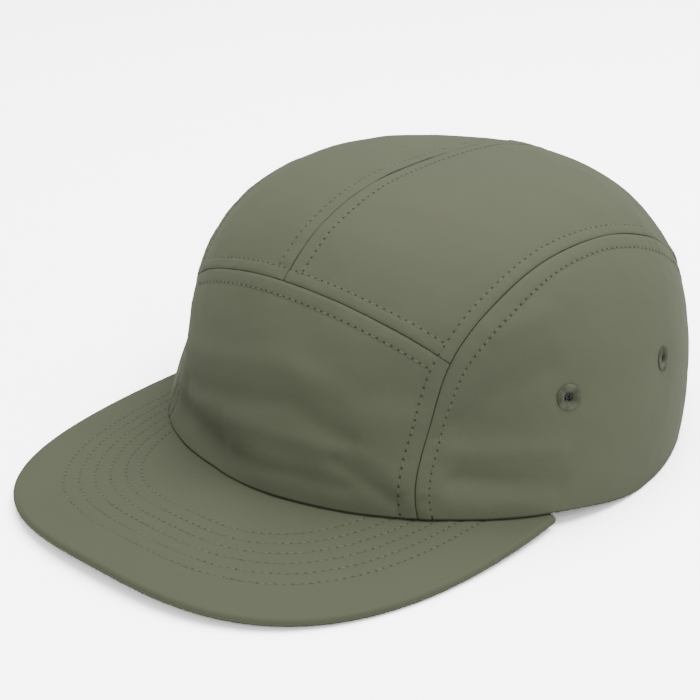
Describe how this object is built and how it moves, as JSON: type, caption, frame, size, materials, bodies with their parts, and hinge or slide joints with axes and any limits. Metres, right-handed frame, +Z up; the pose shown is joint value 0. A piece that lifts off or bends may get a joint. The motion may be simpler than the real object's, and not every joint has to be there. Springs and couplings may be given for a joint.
{
  "type": "five panel cap",
  "caption": "Soft cap with a one piece front, a seamed top, side panels with sewn air holes and a flat stitched peak, open at the back over a strap.",
  "frame": {"origin": "on the floor under the middle of the cap's outer box, halfway between the peak's tip and the back", "axes": "+X the wearer's left, -Y forward to the peak, +Z up; the cap stands on its rim and the peak's edge at z 0"},
  "size_m": [0.1818, 0.2558, 0.094],
  "materials": {
    "crown_cloth": "smooth plain weave, slight sheen",
    "peak_cloth": "smooth plain weave, slight sheen",
    "sweatband_cloth": "matte twill",
    "thread": "polyester thread",
    "webbing": "woven webbing",
    "clasp": "fine grained moulding"
  },
  "bodies": {
    "root": {"front_panel": "crown_cloth", "top_panel_left": "crown_cloth", "top_panel_right": "crown_cloth", "side_panel_left": "crown_cloth", "side_panel_right": "crown_cloth", "peak": "peak_cloth", "sweatband": "sweatband_cloth", "eyelet_front_left": "thread", "eyelet_rear_left": "thread", "eyelet_front_right": "thread", "eyelet_rear_right": "thread", "back_strap": "webbing", "strap_clasp": "clasp"}
  },
  "joints": []
}
